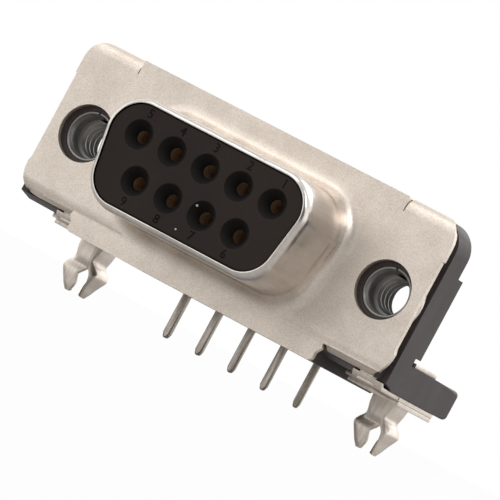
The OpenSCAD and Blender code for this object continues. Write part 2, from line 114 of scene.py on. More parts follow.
class NodeBench:
    """Adds and joins nodes in one node tree."""

    def __init__(self, tree: NodeTree) -> None:
        """Takes the tree that the nodes go into."""
        self.tree = tree

    @classmethod
    def cleared(cls, owner: Material | World) -> "NodeBench":
        """Empties the node tree of a material or the world.

        Args:
            owner: the material or world.

        Returns:
            The bench of its tree.
        """
        owner.use_nodes = True
        owner.node_tree.nodes.clear()
        return cls(owner.node_tree)

    def fill(self, node: Node, **sockets: object) -> Node:
        """Sets or joins a node's inputs.

        Args:
            node: the node.
            sockets: input values or output sockets to join, by input name with underscores
                for spaces; in_0, in_1 and so on stand for inputs by place.

        Returns:
            The same node.
        """
        for key, value in sockets.items():
            by_place = key.startswith("in_") and key[3:].isdigit()
            socket = node.inputs[int(key[3:]) if by_place else key.replace("_", " ")]
            if isinstance(value, NodeSocket):
                self.tree.links.new(value, socket)
            else:
                socket.default_value = (*value, 1.0) if socket.type == "RGBA" else value
        return node

    def add(self, kind: str, settings: dict[str, object] | None = None, **sockets: object) -> Node:
        """Adds a node and fills its inputs.

        Args:
            kind: the node's type name.
            settings: attributes of the node, by name.
            sockets: what its inputs take, as fill has it.

        Returns:
            The new node.
        """
        node = self.tree.nodes.new(kind)
        for key, value in (settings or {}).items():
            setattr(node, key, value)
        return self.fill(node, **sockets)

    def math(self, operation: str, *values: object, clamp: bool = False) -> NodeSocket:
        """Adds a Math node over the given values or sockets and returns its output."""
        inputs = {f"in_{i}": value for i, value in enumerate(values)}
        settings = {"operation": operation, "use_clamp": clamp}
        return self.add("ShaderNodeMath", settings, **inputs).outputs[0]

    def product(self, first: object, second: object) -> NodeSocket:
        """Multiplies two values and returns the output."""
        return self.math("MULTIPLY", first, second)

    def scaled(
        self, value: object, factor: object, base: object = 0.0, clamp: bool = False
    ) -> NodeSocket:
        """Multiplies a value by a factor, adds a base to it and returns the output."""
        return self.math("MULTIPLY_ADD", value, factor, base, clamp=clamp)

    def rest(self, value: object) -> NodeSocket:
        """Takes a value from 1 and returns the output."""
        return self.math("SUBTRACT", 1.0, value)

    def ramp(
        self, value: object, low: float, high: float, out_low: float = 0.0, out_high: float = 1.0
    ) -> NodeSocket:
        """Adds a smooth Map Range node and returns its output."""
        inputs = {"in_0": value, "in_1": low, "in_2": high, "in_3": out_low, "in_4": out_high}
        settings = {"interpolation_type": "SMOOTHSTEP"}
        return self.add("ShaderNodeMapRange", settings, **inputs).outputs[0]

    def noise(
        self, where: NodeSocket, scale: object, detail: float = 2.0, rough: float = 0.5
    ) -> NodeSocket:
        """Adds a Noise Texture and returns its value."""
        inputs = {"Vector": where, "Scale": scale, "Detail": detail, "Roughness": rough}
        return self.add("ShaderNodeTexNoise", **inputs).outputs[0]

    def stretched(self, where: NodeSocket, scale: Triple) -> NodeSocket:
        """Adds a Mapping node that scales a place along its axes, and returns its output."""
        return self.add("ShaderNodeMapping", Vector=where, Scale=scale).outputs[0]

    def axis(self, where: NodeSocket, name: str) -> NodeSocket:
        """Separates a place and returns its X, Y or Z."""
        return self.add("ShaderNodeSeparateXYZ", Vector=where).outputs[name]

    def blend(self, amount: object, first: object, second: object) -> NodeSocket:
        """Adds a colour Mix node and returns its output."""
        inputs = {"in_0": amount, "in_6": first, "in_7": second}
        return self.add("ShaderNodeMix", {"data_type": "RGBA"}, **inputs).outputs[2]

    def bump(
        self, height: NodeSocket, strength: float, distance: float, **under: NodeSocket
    ) -> NodeSocket:
        """Adds a Bump node, over the Normal given if any, and returns its normal."""
        inputs = {"Strength": strength, "Distance": distance, "Height": height, **under}
        return self.add("ShaderNodeBump", **inputs).outputs[0]


@dataclass(frozen=True)
class Effect:
    """Base of the node groups that finishes share: a place and one control give masks."""

    name: str
    control: str
    outputs: tuple[str, ...]
    kind: str = FLOAT

    def tree(self) -> NodeTree:
        """Builds the group once.

        Returns:
            The group's node tree.
        """
        made = bpy.data.node_groups.get(self.name)
        if made:
            return made
        tree = bpy.data.node_groups.new(self.name, "ShaderNodeTree")
        for name, kind in (("Place", VECTOR), (self.control, self.kind)):
            tree.interface.new_socket(name, in_out="INPUT", socket_type=kind)
        for name in self.outputs:
            tree.interface.new_socket(name, in_out="OUTPUT", socket_type=FLOAT)
        entry = tree.nodes.new("NodeGroupInput")
        leave = tree.nodes.new("NodeGroupOutput")
        place, control = entry.outputs["Place"], entry.outputs[self.control]
        for name, socket in zip(self.outputs, self.fill(NodeBench(tree), place, control)):
            tree.links.new(socket, leave.inputs[name])
        return tree

    def place(
        self, bench: NodeBench, where: NodeSocket, control: float | Triple
    ) -> list[NodeSocket]:
        """Adds the group to a material.

        Args:
            bench: the bench of the material's tree.
            where: the place that the group reads.
            control: the control's value in this material.

        Returns:
            The group's outputs, in order.
        """
        node = bench.add("ShaderNodeGroup", {"node_tree": self.tree()}, in_0=where, in_1=control)
        return list(node.outputs)

    def fill(self, bench: NodeBench, place: NodeSocket, control: NodeSocket) -> Sockets:
        """Fills the group; each effect has its own nodes.

        Args:
            bench: the bench of the group's tree.
            place: the group's place input.
            control: the group's control input.

        Returns:
            The sockets that the group puts out, in order.
        """
        raise NotImplementedError


@dataclass(frozen=True)
class Mottle(Effect):
    """Fine crystalline speckle of matte tin, over soft patches of tone."""

    name: str = "tin_mottle"
    control: str = "Grain"
    outputs: tuple[str, ...] = ("Speckle", "Patch", "Height")
    flake_scale: float = 0.8
    flake_share: float = 0.25
    patch_scale: float = 420.0
    speckle_span: Point = (0.40, 0.62)
    patch_span: Point = (0.35, 0.68)

    def fill(self, bench: NodeBench, place: NodeSocket, control: NodeSocket) -> Sockets:
        """Mixes fine noise with crystal cells and adds the patches.

        Args:
            bench: the bench of the group's tree.
            place: the group's place input.
            control: scale of the grain.

        Returns:
            The speckle's mask, the patches' mask and the height of the grain.
        """
        fine = bench.noise(place, control, 3.0, 0.62)
        size = bench.product(control, self.flake_scale)
        flake = bench.add("ShaderNodeTexVoronoi", Vector=place, Scale=size).outputs["Color"]
        tone = bench.scaled(flake, self.flake_share, bench.product(fine, 1.0 - self.flake_share))
        patch = bench.noise(place, self.patch_scale)
        return bench.ramp(tone, *self.speckle_span), bench.ramp(patch, *self.patch_span), tone


@dataclass(frozen=True)
class Streaks(Effect):
    """Long thin marks that drawing or rolling leaves in sheet metal."""

    name: str = "drawn_streaks"
    control: str = "Stretch"
    outputs: tuple[str, ...] = ("Streak", "Height")
    kind: str = VECTOR
    span: Point = (0.38, 0.64)

    def fill(self, bench: NodeBench, place: NodeSocket, control: NodeSocket) -> Sockets:
        """Squeezes noise into thin marks.

        Args:
            bench: the bench of the group's tree.
            place: the group's place input.
            control: how tight the marks are along each axis.

        Returns:
            The marks' mask and height.
        """
        settings = {"operation": "MULTIPLY"}
        squeezed = bench.add("ShaderNodeVectorMath", settings, in_0=place, in_1=control)
        thin = bench.noise(squeezed.outputs[0], 1.0, 4.0, 0.6)
        return bench.ramp(thin, *self.span), thin


@dataclass(frozen=True)
class Grain(Effect):
    """Fine grain and flow marks of moulded plastic."""

    name: str = "moulded_grain"
    control: str = "Grain"
    outputs: tuple[str, ...] = ("Fine", "Flow")
    flow_stretch: Triple = (1.0, 1.6, 0.7)
    flow_scale: float = 260.0
    flow_span: Point = (0.30, 0.72)

    def fill(self, bench: NodeBench, place: NodeSocket, control: NodeSocket) -> Sockets:
        """Makes the grain and the broader flow marks.

        Args:
            bench: the bench of the group's tree.
            place: the group's place input.
            control: scale of the grain.

        Returns:
            The grain's value and the flow marks' mask.
        """
        fine = bench.noise(place, control, 3.0, 0.6)
        flow = bench.noise(bench.stretched(place, self.flow_stretch), self.flow_scale, 3.0)
        return fine, bench.ramp(flow, *self.flow_span)


@dataclass(frozen=True)
class Dust(Effect):
    """Scattered tiny pale dots of dust."""

    name: str = "dust_dots"
    control: str = "Spread"
    outputs: tuple[str, ...] = ("Dust",)
    dot_span: Point = (0.035, 0.075)
    chosen_span: Point = (0.62, 0.66)

    def fill(self, bench: NodeBench, place: NodeSocket, control: NodeSocket) -> Sockets:
        """Puts a dot in some of the cells.

        Args:
            bench: the bench of the group's tree.
            place: the group's place input.
            control: scale of the cells.

        Returns:
            The dots' mask.
        """
        cells = bench.add("ShaderNodeTexVoronoi", Vector=place, Scale=control)
        dots = bench.ramp(cells.outputs["Distance"], *self.dot_span, 1.0, 0.0)
        chosen = bench.ramp(cells.outputs["Color"], *self.chosen_span)
        return (bench.product(dots, chosen),)


MOTTLE, STREAKS, GRAIN, DUST = Mottle(), Streaks(), Grain(), Dust()


@dataclass(frozen=True)
class Finish:
    """Base of the finishes: one Principled material with its own nodes."""

    name: str

    def material(self) -> Material:
        """Builds the material once.

        Returns:
            The material.
        """
        made = bpy.data.materials.get(self.name)
        if made:
            return made
        made = bpy.data.materials.new(self.name)
        bench = NodeBench.cleared(made)
        place = bench.add("ShaderNodeTexCoord").outputs["Object"]
        shader = bench.add("ShaderNodeBsdfPrincipled")
        bench.fill(shader, **self.dress(bench, place))
        bench.add("ShaderNodeOutputMaterial", Surface=shader.outputs[0])
        return made

    def dress(self, bench: NodeBench, place: NodeSocket) -> dict[str, object]:
        """Makes the finish's nodes; each finish has its own.

        Args:
            bench: the bench of the material's tree.
            place: the Object coordinates.

        Returns:
            Values and sockets for the shader's inputs.
        """
        raise NotImplementedError


@dataclass(frozen=True)
class TinnedSheet(Finish):
    """Matte tin over drawn steel: speckled on the flange, smoother where the sheet was drawn."""

    light: Colour = (0.95, 0.855, 0.76)
    dark: Colour = (0.55, 0.47, 0.395)
    drawn: Colour = (0.80, 0.76, 0.72)
    drawn_from: float = -0.0006
    flat_from: float = 0.0
    flange_rough: float = 0.42
    drawn_rough: float = 0.19
    speckle_rough: float = 0.07
    grain: float = 17000.0
    stretch: Triple = (3200.0, 260.0, 3200.0)
    speckle_flat: float = 0.27
    speckle_least: float = 0.08
    patches: float = 0.18
    streaks: float = 0.22
    bump: float = 0.30
    bump_depth: float = 0.00006
    bump_least: float = 0.15
    wave: float = 0.62
    wave_depth: float = 0.0004
    wave_scale: float = 430.0
    wave_stretch: Triple = (1.0, 0.55, 1.0)

    def dress(self, bench: NodeBench, place: NodeSocket) -> dict[str, object]:
        """Fades the speckle and shows streaks and waves where the sheet was drawn.

        Args:
            bench: the bench of the material's tree.
            place: the Object coordinates.

        Returns:
            Values and sockets for the shader's inputs.
        """
        flat = bench.ramp(bench.axis(place, "Y"), self.drawn_from, self.flat_from)
        bent = bench.rest(flat)
        speckle, patch, height = MOTTLE.place(bench, place, self.grain)
        streak = STREAKS.place(bench, place, self.stretch)[0]
        amount = bench.scaled(flat, self.speckle_flat, self.speckle_least)
        tone = bench.scaled(patch, self.patches, bench.product(speckle, amount))
        tone = bench.scaled(bench.product(streak, bent), self.streaks, tone, clamp=True)
        rough = bench.scaled(flat, self.flange_rough - self.drawn_rough, self.drawn_rough)
        level = bench.scaled(flat, 1.0 - self.bump_least, self.bump_least)
        swell = bench.noise(bench.stretched(place, self.wave_stretch), self.wave_scale, 0.6, 0.4)
        waves = bench.bump(bench.product(swell, bent), self.wave, self.wave_depth)
        fine = bench.product(height, level)
        return {
            "Metallic": 1.0,
            "Base_Color": bench.blend(tone, bench.blend(flat, self.drawn, self.light), self.dark),
            "Roughness": bench.scaled(speckle, self.speckle_rough, rough),
            "Normal": bench.bump(fine, self.bump, self.bump_depth, Normal=waves),
        }


@dataclass(frozen=True)
class TinnedStrip(Finish):
    """Bright tin over rolled strip."""

    light: Colour = (0.88, 0.80, 0.72)
    dark: Colour = (0.70, 0.62, 0.55)
    rough: float = 0.37
    streak_rough: float = 0.10
    grain: float = 5200.0
    stretch: Triple = (4200.0, 700.0, 500.0)
    streaks: float = 0.45
    patches: float = 0.30
    bump: float = 0.08
    bump_depth: float = 0.00004

    def dress(self, bench: NodeBench, place: NodeSocket) -> dict[str, object]:
        """Puts rolling streaks in tone and roughness, over soft patches.

        Args:
            bench: the bench of the material's tree.
            place: the Object coordinates.

        Returns:
            Values and sockets for the shader's inputs.
        """
        streak, height = STREAKS.place(bench, place, self.stretch)
        patch = MOTTLE.place(bench, place, self.grain)[1]
        tone = bench.scaled(patch, self.patches, bench.product(streak, self.streaks), clamp=True)
        return {
            "Metallic": 1.0,
            "Base_Color": bench.blend(tone, self.light, self.dark),
            "Roughness": bench.scaled(streak, self.streak_rough, self.rough),
            "Normal": bench.bump(height, self.bump, self.bump_depth),
        }


@dataclass(frozen=True)
class BlackPlastic(Finish):
    """Brownish black moulded thermoplastic with a fine grain and a little dust.

    Given a starting Y, the finish paints everything behind it near black and a little rougher:
    painted shade in the contacts' entries and behind the mating face.
    """

    base: Colour = (0.044, 0.033, 0.031)
    worn: Colour = (0.084, 0.067, 0.064)
    rough: float = 0.42
    grain_rough: float = 0.16
    gloss: float = 0.5
    grain: float = 9000.0
    bump: float = 0.10
    bump_depth: float = 0.00005
    dust: float = 0.25
    dust_spread: float = 1500.0
    dust_colour: Colour = (0.30, 0.28, 0.26)
    # Painted shade behind the mating face: where it starts, how fast it comes in, how dark it gets,
    # its roughness and its near-black colour.
    recess_from: float | None = None
    recess_run: float = 0.00002
    recess_dark: float = 0.85
    recess_rough: float = 0.25
    recess_colour: Colour = (0.003, 0.002, 0.0015)

    def dress(self, bench: NodeBench, place: NodeSocket) -> dict[str, object]:
        """Puts grain and flow marks in tone, roughness and bump.

        Args:
            bench: the bench of the material's tree.
            place: the Object coordinates.

        Returns:
            Values and sockets for the shader's inputs.
        """
        fine, flow = GRAIN.place(bench, place, self.grain)
        dust = DUST.place(bench, place, self.dust_spread)[0]
        colour = bench.blend(bench.product(fine, flow), self.base, self.worn)
        colour = bench.blend(bench.product(dust, self.dust), colour, self.dust_colour)
        rough = bench.scaled(fine, self.grain_rough, self.rough)
        # Painted shade: behind the given Y the colour is blended towards near black, standing in
        # for the shade inside the entries.
        if self.recess_from is not None:
            depths = (self.recess_from, self.recess_from + self.recess_run)
            painted_shade_mask = bench.ramp(bench.axis(place, "Y"), *depths, 0.0, self.recess_dark)
            colour = bench.blend(painted_shade_mask, colour, self.recess_colour)
            rough = bench.scaled(painted_shade_mask, self.recess_rough, rough)
        return {
            "Base_Color": colour,
            "Roughness": rough,
            "Specular_IOR_Level": self.gloss,
            "Normal": bench.bump(fine, self.bump, self.bump_depth),
        }


@dataclass(frozen=True)
class InsertSteel(Finish):
    """Dark turned steel of the threaded inserts."""

    light: Colour = (0.42, 0.37, 0.335)
    dark: Colour = (0.17, 0.145, 0.13)
    rough: float = 0.24
    patch_rough: float = 0.12
    grain: float = 6500.0
    stretch: Triple = (900.0, 5200.0, 900.0)
    streaks: float = 0.4
    speckles: float = 0.35
    bump: float = 0.10
    bump_depth: float = 0.00003

    def dress(self, bench: NodeBench, place: NodeSocket) -> dict[str, object]:
        """Puts turning marks in tone and bump, and soft patches in roughness.

        Args:
            bench: the bench of the material's tree.
            place: the Object coordinates.

        Returns:
            Values and sockets for the shader's inputs.
        """
        streak, height = STREAKS.place(bench, place, self.stretch)
        speckle, patch, _ = MOTTLE.place(bench, place, self.grain)
        tone = bench.scaled(speckle, self.speckles, bench.product(streak, self.streaks), clamp=True)
        return {
            "Metallic": 1.0,
            "Base_Color": bench.blend(tone, self.light, self.dark),
            "Roughness": bench.scaled(patch, self.patch_rough, self.rough),
            "Normal": bench.bump(height, self.bump, self.bump_depth),
        }


@dataclass(frozen=True)
class ContactAlloy(Finish):
    """Contacts that are gold plated in front and tinned on their tails."""

    gold: Colour = (0.48, 0.315, 0.185)
    gold_dark: Colour = (0.22, 0.135, 0.08)
    gold_metal: float = 0.35
    gold_rough: float = 0.25
    tin: Colour = (0.56, 0.51, 0.45)
    tin_dark: Colour = (0.34, 0.30, 0.26)
    gold_to: float = 0.0022
    tin_from: float = 0.0034
    rough: float = 0.27
    streak_rough: float = 0.12
    grain: float = 7000.0
    stretch: Triple = (6500.0, 3500.0, 420.0)
    streaks: float = 0.55
    speckles: float = 0.25
    bump: float = 0.12
    bump_depth: float = 0.00003

    def dress(self, bench: NodeBench, place: NodeSocket) -> dict[str, object]:
        """Changes the plating behind the collar and draws streaks along the tails.

        Args:
            bench: the bench of the material's tree.
            place: the Object coordinates.

        Returns:
            Values and sockets for the shader's inputs.
        """
        tinned = bench.ramp(bench.axis(place, "Y"), self.gold_to, self.tin_from)
        streak, height = STREAKS.place(bench, place, self.stretch)
        speckle = MOTTLE.place(bench, place, self.grain)[0]
        tone = bench.scaled(speckle, self.speckles, bench.product(streak, self.streaks), clamp=True)
        gold = bench.blend(tone, self.gold, self.gold_dark)
        tin = bench.blend(tone, self.tin, self.tin_dark)
        rough = bench.scaled(streak, self.streak_rough, self.rough)
        return {
            "Base_Color": bench.blend(tinned, gold, tin),
            "Metallic": bench.scaled(tinned, 1.0 - self.gold_metal, self.gold_metal),
            "Roughness": bench.scaled(bench.rest(tinned), self.gold_rough, rough),
            "Normal": bench.bump(height, self.bump, self.bump_depth),
        }


@dataclass(frozen=True)
class PaleLint(Finish):
    """Pale lint stuck to the mating face."""

    light: Colour = (0.80, 0.78, 0.74)
    dark: Colour = (0.55, 0.52, 0.48)
    rough: float = 0.85
    grain: float = 16000.0
    span: Point = (0.3, 0.7)
    bump: float = 0.5
    bump_depth: float = 0.00004

    def dress(self, bench: NodeBench, place: NodeSocket) -> dict[str, object]:
        """Gives an uneven pale tone and a soft bump.

        Args:
            bench: the bench of the material's tree.
            place: the Object coordinates.

        Returns:
            Values and sockets for the shader's inputs.
        """
        tone = bench.noise(place, self.grain, 3.0)
        return {
            "Base_Color": bench.blend(bench.ramp(tone, *self.span), self.dark, self.light),
            "Roughness": self.rough,
            "Normal": bench.bump(tone, self.bump, self.bump_depth),
        }


TIN = TinnedSheet("matte_tin")
STRIP = TinnedStrip("bright_strip_tin")
PLASTIC = BlackPlastic("housing_black")
# The same plastic as the housing, with a darker, less glossy base that paints the shade of the
# front-facing mating face, and with painted shade in the entries behind it.
SHADED_FACE_PLASTIC = BlackPlastic(
    "insulator_black", base=(0.016, 0.008, 0.005), worn=(0.028, 0.016, 0.012), rough=0.48,
    gloss=0.30, dust=0.10, recess_from=-0.00609,
)
NUMERAL_PLASTIC = BlackPlastic(
    "numeral_black", base=(0.008, 0.004, 0.003), worn=(0.018, 0.011, 0.009), rough=0.60,
    gloss=0.08, dust=0.0,
)
STEEL = InsertSteel("insert_steel")
ALLOY = ContactAlloy("contact_plating")
LINT = PaleLint("pale_lint")


# ---- Mesh building ------------------------------------------------------------------------


def bevelled(
    bm: BMesh,
    geom: Sequence[BMEdge | BMVert],
    offset: float,
    segments: int,
    clamp: bool = True,
    affect: str = "EDGES",
) -> None:
    """Rounds edges or corners."""
    bmesh.ops.bevel(
        bm, geom=geom, offset=offset, offset_type="OFFSET", segments=segments, profile=0.5,
        affect=affect, clamp_overlap=clamp, material=-1,
    )


def creased(edges: Iterable[BMEdge], least: float) -> list[BMEdge]:
    """Picks the edges whose two faces meet at more than an angle in degrees."""
    return [e for e in edges if e.calc_face_angle(0.0) > math.radians(least)]


def open_rims(bm: BMesh, y: float) -> list[BMEdge]:
    """Picks the open edges that lie flat at one Y."""
    rims = [e for e in bm.edges if len(e.link_faces) < 2]
    return [e for e in rims if all(abs(v.co.y - y) < NEAR for v in e.verts)]


def filled(
    bm: BMesh, rims: Sequence[BMEdge], normal: Triple = (0, -1, 0), dissolve: bool = False
) -> list[BMFace]:
    """Fills flat rims, round any openings between them, and returns the new faces."""
    made = bmesh.ops.triangle_fill(
        bm, use_beauty=True, use_dissolve=dissolve, edges=rims, normal=normal
    )
    return [f for f in made["geom"] if isinstance(f, BMFace)]


def with_borders(faces: Sequence[BMFace]) -> list[BMFace | BMEdge | BMVert]:
    """Lists faces with their edges and vertices, each once and in a fixed order."""
    borders = [part for f in faces for part in (*f.edges, *f.verts)]
    return list(dict.fromkeys([*faces, *borders]))


def closed(bm: BMesh) -> None:
    """Merges doubles and turns the faces outwards."""
    bmesh.ops.remove_doubles(bm, verts=bm.verts, dist=NEAR)
    bmesh.ops.recalc_face_normals(bm, faces=bm.faces)


def meshed(bm: BMesh, name: str) -> Mesh:
    """Writes a bmesh into a new mesh and frees it.

    Args:
        bm: the bmesh.
        name: the mesh's name.

    Returns:
        The mesh.
    """
    mesh = bpy.data.meshes.new(name)
    bm.to_mesh(mesh)
    bm.free()
    return mesh


def linked(name: str, data: bpy.types.ID) -> Object:
    """Adds a new object to the scene.

    Args:
        name: the object's name.
        data: its mesh, curve, camera or lamp.

    Returns:
        The object.
    """
    made = bpy.data.objects.new(name, data)
    bpy.context.scene.collection.objects.link(made)
    return made


def turned(
    bm: BMesh,
    profile: Sequence[Point],
    steps: int,
    sweep: float = math.tau,
    climb: float = 0.0,
    near: float = NEAR,
) -> list[BMVert]:
    """Turns a profile round the Y axis.

    Args:
        bm: the mesh that takes the skin.
        profile: (radius, y) points; the first point is repeated at the end for a closed section.
        steps: number of steps of the turn.
        sweep: angle of the turn in radians.
        climb: move along Y at each step.
        near: vertices closer than this are merged.

    Returns:
        The vertices of the turned skin.
    """
    before = set(bm.verts)
    line = [bm.verts.new((r, y, 0.0)) for r, y in profile]
    edges = [bm.edges.new(pair) for pair in zip(line, line[1:])]
    bmesh.ops.spin(
        bm, geom=line + edges, cent=(0, 0, 0), axis=(0, 1, 0), dvec=(0, climb, 0),
        angle=sweep, steps=steps, use_merge=sweep == math.tau, use_duplicate=False,
    )
    made = [v for v in bm.verts if v not in before]
    bmesh.ops.remove_doubles(bm, verts=made, dist=near)
    return [v for v in bm.verts if v not in before]


def arc(centre: Point, radius: float, start: float, end: float, steps: int) -> list[Point]:
    """Points of an arc about a centre, from one angle to another."""
    angles = [math.radians(start + (end - start) * i / steps) for i in range(steps + 1)]
    return [(centre[0] + radius * math.cos(a), centre[1] + radius * math.sin(a)) for a in angles]


def rounded_outline(bm: BMesh, corners: Sequence[Triple], steps: int = 8) -> list[BMVert]:
    """Makes a flat face in X and Z whose corners are rounded.

    Args:
        bm: the mesh that takes the face.
        corners: (x, z, radius) of each corner, in order; a radius of 0 keeps it sharp.
        steps: segments of each rounding.

    Returns:
        The vertices of the outline, in order.
    """
    loop = [bm.verts.new((x, 0.0, z)) for x, z, _ in corners]
    bm.faces.new(loop)
    places = [v.co.copy() for v in loop]
    for i, (vertex, (_, _, radius)) in enumerate(zip(loop, corners)):
        if radius <= 0:
            continue
        back = (places[i - 1] - places[i]).normalized()
        onward = (places[(i + 1) % len(loop)] - places[i]).normalized()
        reach = radius / math.tan(back.angle(onward) / 2)
        bevelled(bm, [vertex], reach, steps, clamp=False, affect="VERTICES")
    face = max(bm.faces, key=lambda f: f.calc_area())
    return [corner.vert for corner in face.loops]


def finished(
    bm: BMesh,
    name: str,
    finish: Finish,
    stands_for: Iterable[str] = (),
    level: bool = False,
) -> Object:
    """Turns a mesh in millimetres into a piece that rides on the connector's body.

    Args:
        bm: the mesh; it is freed.
        name: the piece's name.
        finish: the finish it wears.
        stands_for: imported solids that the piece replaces.
        level: whether faces square to Y are shaded flat up to their borders.

    Returns:
        The piece.
    """
    bmesh.ops.scale(bm, vec=(MM,) * 3, verts=bm.verts)
    for face in bm.faces:
        face.smooth = True
    for edge in bm.edges:
        turn = edge.calc_face_angle(0.0)
        square = any(abs(f.normal.y) > 0.99999 for f in edge.link_faces)
        border = level and square and turn > 0.01
        edge.smooth = len(edge.link_faces) == 2 and turn < math.radians(CRISP_FROM) and not border
    mesh = meshed(bm, name)
    mesh.materials.append(finish.material())
    piece = linked(name, mesh)
    piece.modifiers.new("face weighted normals", "WEIGHTED_NORMAL").keep_sharp = True
    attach(piece, "root")
    if stands_for:
        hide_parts(*stands_for)
    log.info("%s: %d faces", name, len(mesh.polygons))
    return piece


# ---- Pieces -------------------------------------------------------------------------------


@dataclass(frozen=True)
class DShape:
    """The D of the mating face: a turned ring spread out to four corner centres."""

    top_x: float = 5.575
    bottom_x: float = 5.0954
    corner_z: float = 1.36
    lean: float = 10.0
    steps: int = 144

    def centre(self, angle: float) -> Vector:
        """The corner centre that a direction belongs to, seen from the front.

        Args:
            angle: direction from +X towards +Z.

        Returns:
            The centre, in X and Z.
        """
        angle = (angle + 90.0) % 360.0 - 90.0
        if angle < -self.lean:
            return Vector((self.bottom_x, 0.0, -self.corner_z))
        if angle < 90.0:
            return Vector((self.top_x, 0.0, self.corner_z))
        if angle < 180.0 + self.lean:
            return Vector((-self.top_x, 0.0, self.corner_z))
        return Vector((-self.bottom_x, 0.0, -self.corner_z))

    def ring(self, bm: BMesh, profile: Sequence[Point]) -> None:
        """Sweeps a profile round the D.

        Args:
            bm: the mesh that takes the skin.
            profile: points of (distance from a corner centre, y).
        """
        half_step = Matrix.Rotation(math.pi / self.steps, 3, "Y")
        for vertex in turned(bm, profile, self.steps):
            vertex.co = half_step @ vertex.co
            vertex.co += self.centre(math.degrees(math.atan2(vertex.co.z, vertex.co.x)))


D_SHAPE = DShape()


